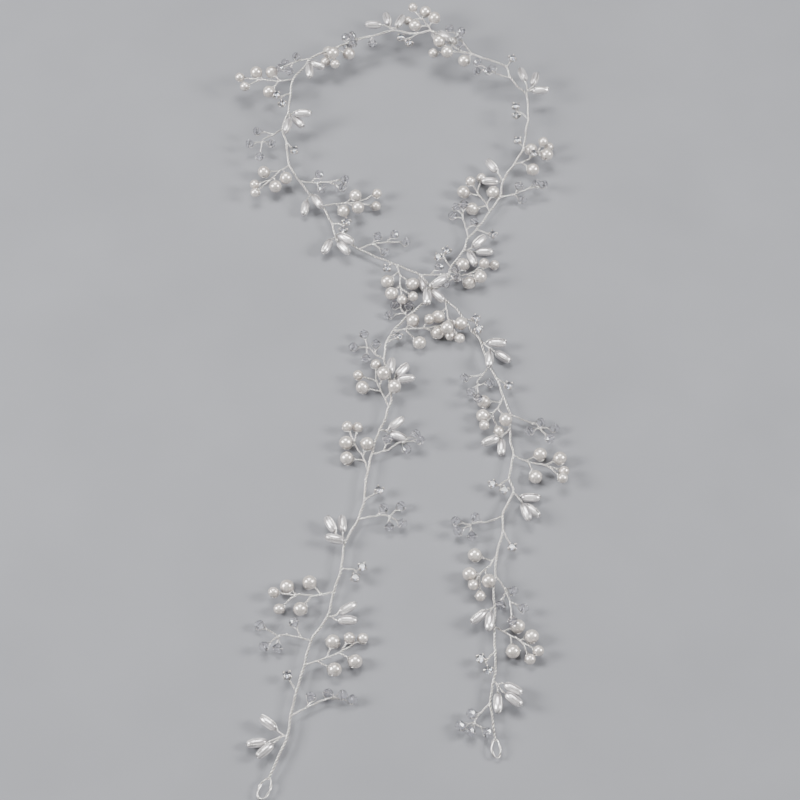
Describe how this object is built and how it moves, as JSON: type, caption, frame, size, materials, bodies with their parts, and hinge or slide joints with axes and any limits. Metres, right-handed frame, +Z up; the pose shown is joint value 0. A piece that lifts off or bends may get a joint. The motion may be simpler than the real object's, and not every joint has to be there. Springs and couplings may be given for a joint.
{
  "type": "hair vine",
  "caption": "Long flexible hair vine of twisted silver wire with sprigs of pearls, rice pearls, faceted crystal beads and small cupped stones, and an eye at each end.",
  "frame": {"origin": "middle of the bounding box, on the surface that the vine lies on", "axes": "+Y from the two tails towards the top of the loop, +X to the right as the vine lies, +Z up"},
  "size_m": [0.1571, 0.4196, 0.0234],
  "materials": {
    "silver_wire": "silver-plated soft wire, two strands twisted",
    "pearl": "glossy pearl coating",
    "rice_pearl": "glossy pearl coating",
    "crystal": "clear cut glass"
  },
  "bodies": {
    "root": {"wire_right": "silver_wire", "large_pearls_right": "pearl", "small_pearls_right": "pearl", "rice_pearls_right": "rice_pearl", "crystals_right": "crystal", "wire_left": "silver_wire", "large_pearls_left": "pearl", "small_pearls_left": "pearl", "rice_pearls_left": "rice_pearl", "crystals_left": "crystal"}
  },
  "joints": []
}
